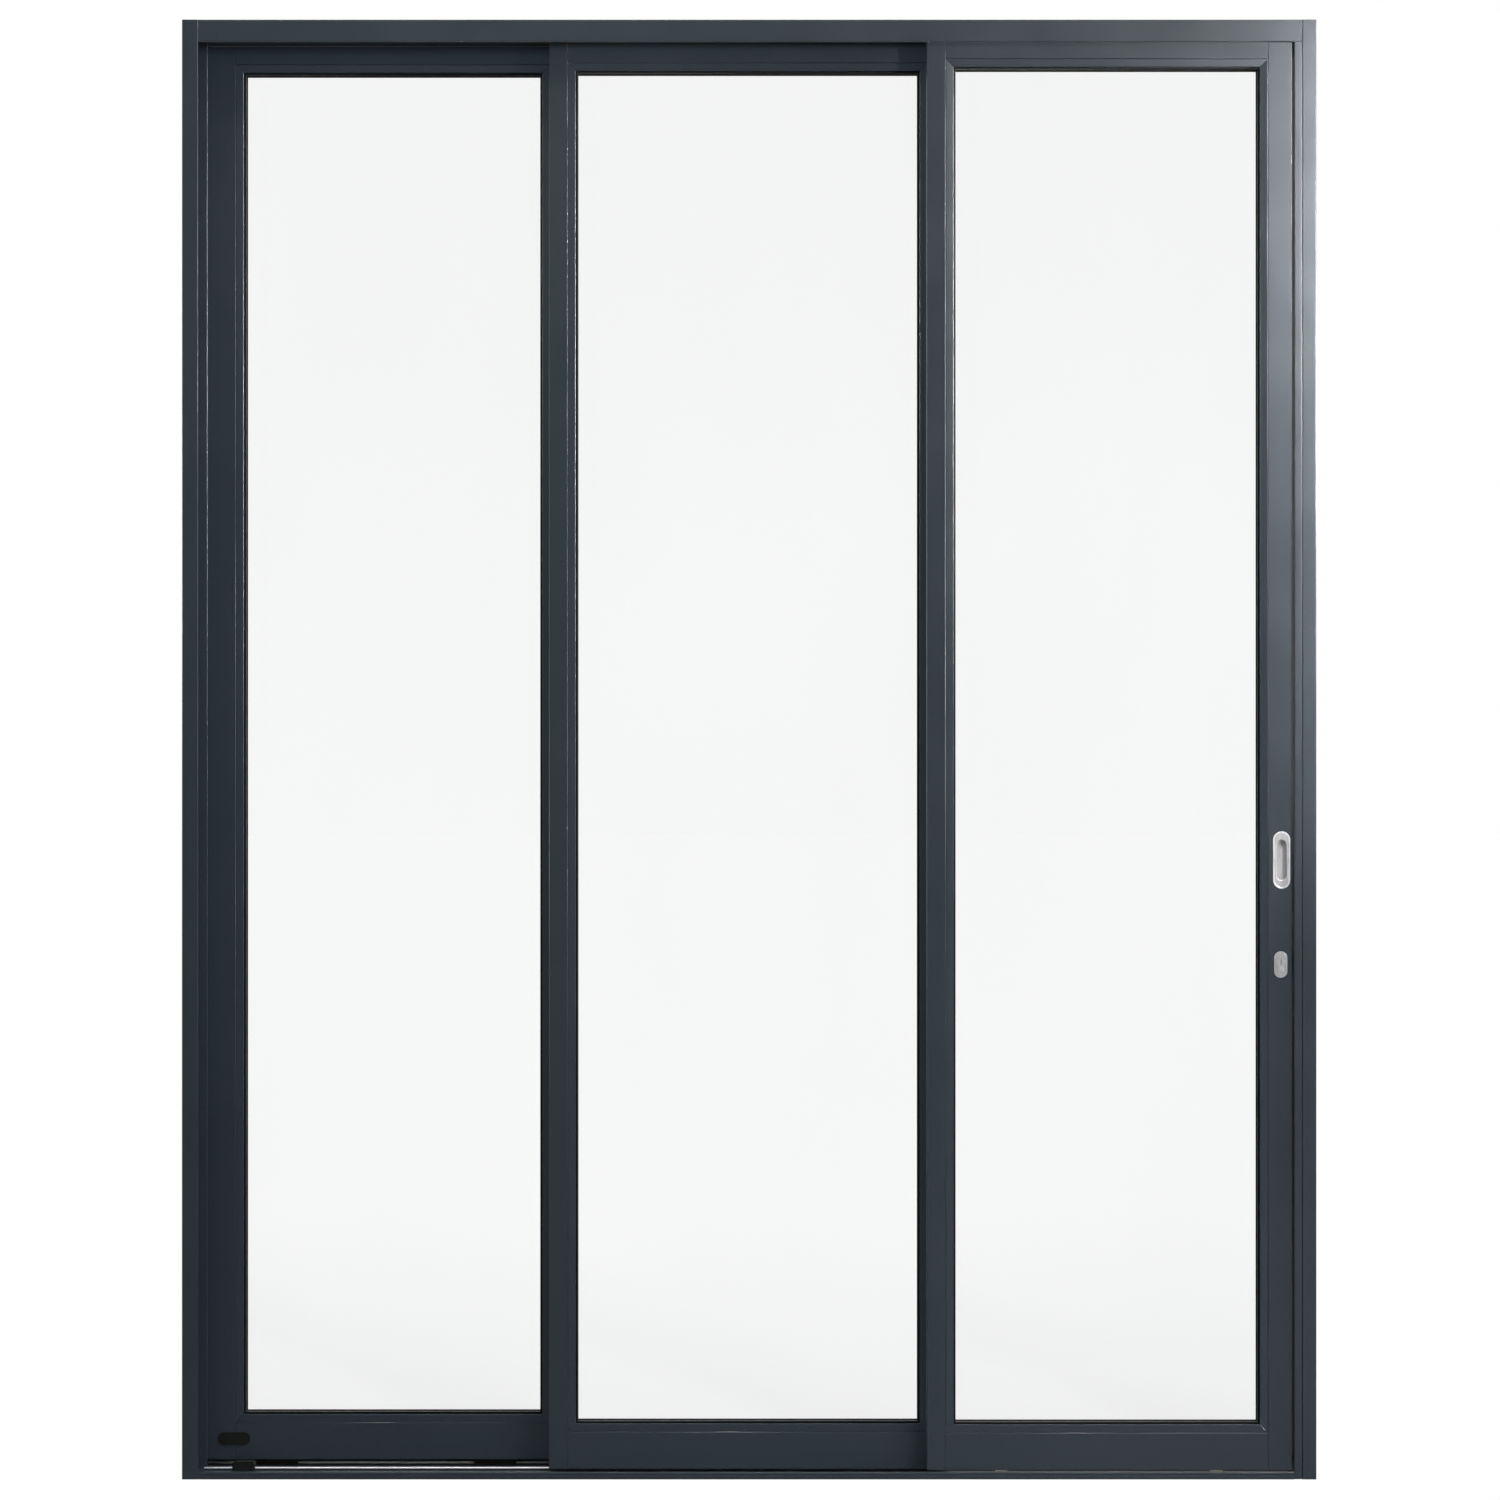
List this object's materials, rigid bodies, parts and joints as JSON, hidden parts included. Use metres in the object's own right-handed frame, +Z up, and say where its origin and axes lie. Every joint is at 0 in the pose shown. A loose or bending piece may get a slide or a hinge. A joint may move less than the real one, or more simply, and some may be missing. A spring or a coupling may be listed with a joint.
{
  "type": "glass sliding patio door",
  "caption": "Three-track aluminium sliding patio door: one fixed and two sliding glazed leaves in a full frame, with flush pull and key lock.",
  "frame": {"origin": "middle of the sill's underside, centred on the frame's width and depth", "axes": "+X to the right seen from the room, +Y from the room to the outside, +Z up"},
  "size_m": [1.865, 0.186, 2.4],
  "materials": {
    "coated_frame": "satin dark grey powder coat",
    "coated_leaf": "satin dark grey powder coat",
    "running_rail": "bright rolled stainless",
    "lock_steel": "satin stainless",
    "black_plastic": "matt black",
    "brush_pile": "black pile",
    "clear_glass": "clear float glass",
    "spacer_bar": "dark grey",
    "black_gasket": "matt black",
    "carriage_zinc": "zinc plated",
    "wheel_nylon": "natural nylon",
    "satin_nickel": "satin nickel"
  },
  "bodies": {
    "frame": {"left_jamb": "coated_frame", "right_jamb": "coated_frame", "head": "coated_frame", "sill": "coated_frame", "front_rail": "running_rail", "middle_rail": "running_rail", "rear_rail": "running_rail", "closing_strip": "coated_frame", "lock_keep": "lock_steel", "sill_stop": "black_plastic", "brush_seals": "brush_pile", "left_jamb_stile": "coated_leaf", "left_meeting_stile": "coated_leaf", "left_beads": "coated_leaf", "left_bottom_rail": "coated_leaf", "left_top_rail": "coated_leaf", "left_panes": "clear_glass", "left_spacer": "spacer_bar", "left_gaskets": "black_gasket", "left_setting_blocks": "black_plastic", "left_pads": "black_plastic", "left_fixing_cover": "black_plastic"},
    "middle_leaf": {"middle_left_stile": "coated_leaf", "middle_right_stile": "coated_leaf", "middle_beads": "coated_leaf", "middle_bottom_rail": "coated_leaf", "middle_top_rail": "coated_leaf", "middle_panes": "clear_glass", "middle_spacer": "spacer_bar", "middle_gaskets": "black_gasket", "middle_setting_blocks": "black_plastic", "middle_carriages": "carriage_zinc", "middle_wheels": "wheel_nylon"},
    "right_leaf": {"right_meeting_stile": "coated_leaf", "right_lock_stile": "coated_leaf", "right_beads": "coated_leaf", "right_bottom_rail": "coated_leaf", "right_top_rail": "coated_leaf", "right_panes": "clear_glass", "right_spacer": "spacer_bar", "right_gaskets": "black_gasket", "right_setting_blocks": "black_plastic", "right_carriages": "carriage_zinc", "right_wheels": "wheel_nylon", "right_front_pull": "satin_nickel", "right_rear_pull": "satin_nickel", "right_scutcheons": "satin_nickel", "right_lock_cylinder": "satin_nickel", "right_lock_faceplate": "lock_steel"}
  },
  "joints": [
    {"name": "middle_leaf_slide", "type": "slide", "parent": "frame", "child": "middle_leaf", "axis": [-1, 0, 0], "range_m": [0, 0.484]},
    {"name": "right_leaf_slide", "type": "slide", "parent": "middle_leaf", "child": "right_leaf", "axis": [-1, 0, 0], "range_m": [0, 0.52]}
  ]
}
